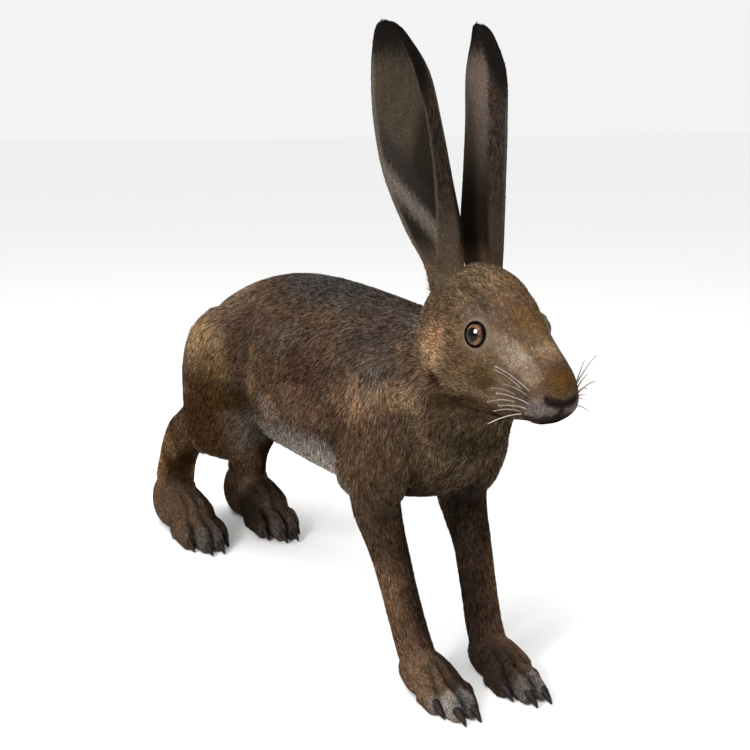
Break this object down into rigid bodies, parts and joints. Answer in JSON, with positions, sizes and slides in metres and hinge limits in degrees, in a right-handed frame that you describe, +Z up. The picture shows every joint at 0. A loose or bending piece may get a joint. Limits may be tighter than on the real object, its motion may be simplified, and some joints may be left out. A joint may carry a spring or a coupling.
{
  "type": "brown hare",
  "caption": "Life-size still model of a brown hare standing on all fours, head turned ahead, long ears upright and tail hanging, for natural history display.",
  "frame": {"origin": "on the floor, under the middle of the box round the whole animal", "axes": "+X towards the nose, +Y towards the animal's left side, +Z up"},
  "size_m": [0.5846, 0.1264, 0.4435],
  "materials": {
    "eye": "wet and glossy, like glass",
    "forepaw": "short dense fur",
    "hind_foot": "short dense fur",
    "claw": "smooth dark horn",
    "forearm": "short dense fur",
    "shank": "short dense fur",
    "upper_arm": "short dense fur",
    "thigh": "short dense fur",
    "head": "short dense fur",
    "ear": "short dense fur",
    "neck": "short dense fur",
    "torso": "short dense fur",
    "tail": "short dense fur"
  },
  "bodies": {
    "root": {"eye_right": "eye", "eye_left": "eye", "forepaw_right": "forepaw", "forepaw_left": "forepaw", "hind_foot_right": "hind_foot", "hind_foot_left": "hind_foot", "forepaw_claw_1_right": "claw", "forepaw_claw_1_left": "claw", "forepaw_claw_2_right": "claw", "forepaw_claw_2_left": "claw", "forepaw_claw_3_right": "claw", "forepaw_claw_3_left": "claw", "forepaw_claw_4_right": "claw", "forepaw_claw_4_left": "claw", "hind_foot_claw_1_right": "claw", "hind_foot_claw_1_left": "claw", "hind_foot_claw_2_right": "claw", "hind_foot_claw_2_left": "claw", "hind_foot_claw_3_right": "claw", "hind_foot_claw_3_left": "claw", "hind_foot_claw_4_right": "claw", "hind_foot_claw_4_left": "claw", "forearm_right": "forearm", "forearm_left": "forearm", "shank_right": "shank", "shank_left": "shank", "upper_arm_right": "upper_arm", "upper_arm_left": "upper_arm", "thigh_right": "thigh", "thigh_left": "thigh", "head": "head", "ear_right": "ear", "ear_left": "ear", "neck": "neck", "torso": "torso", "tail": "tail"}
  },
  "joints": []
}
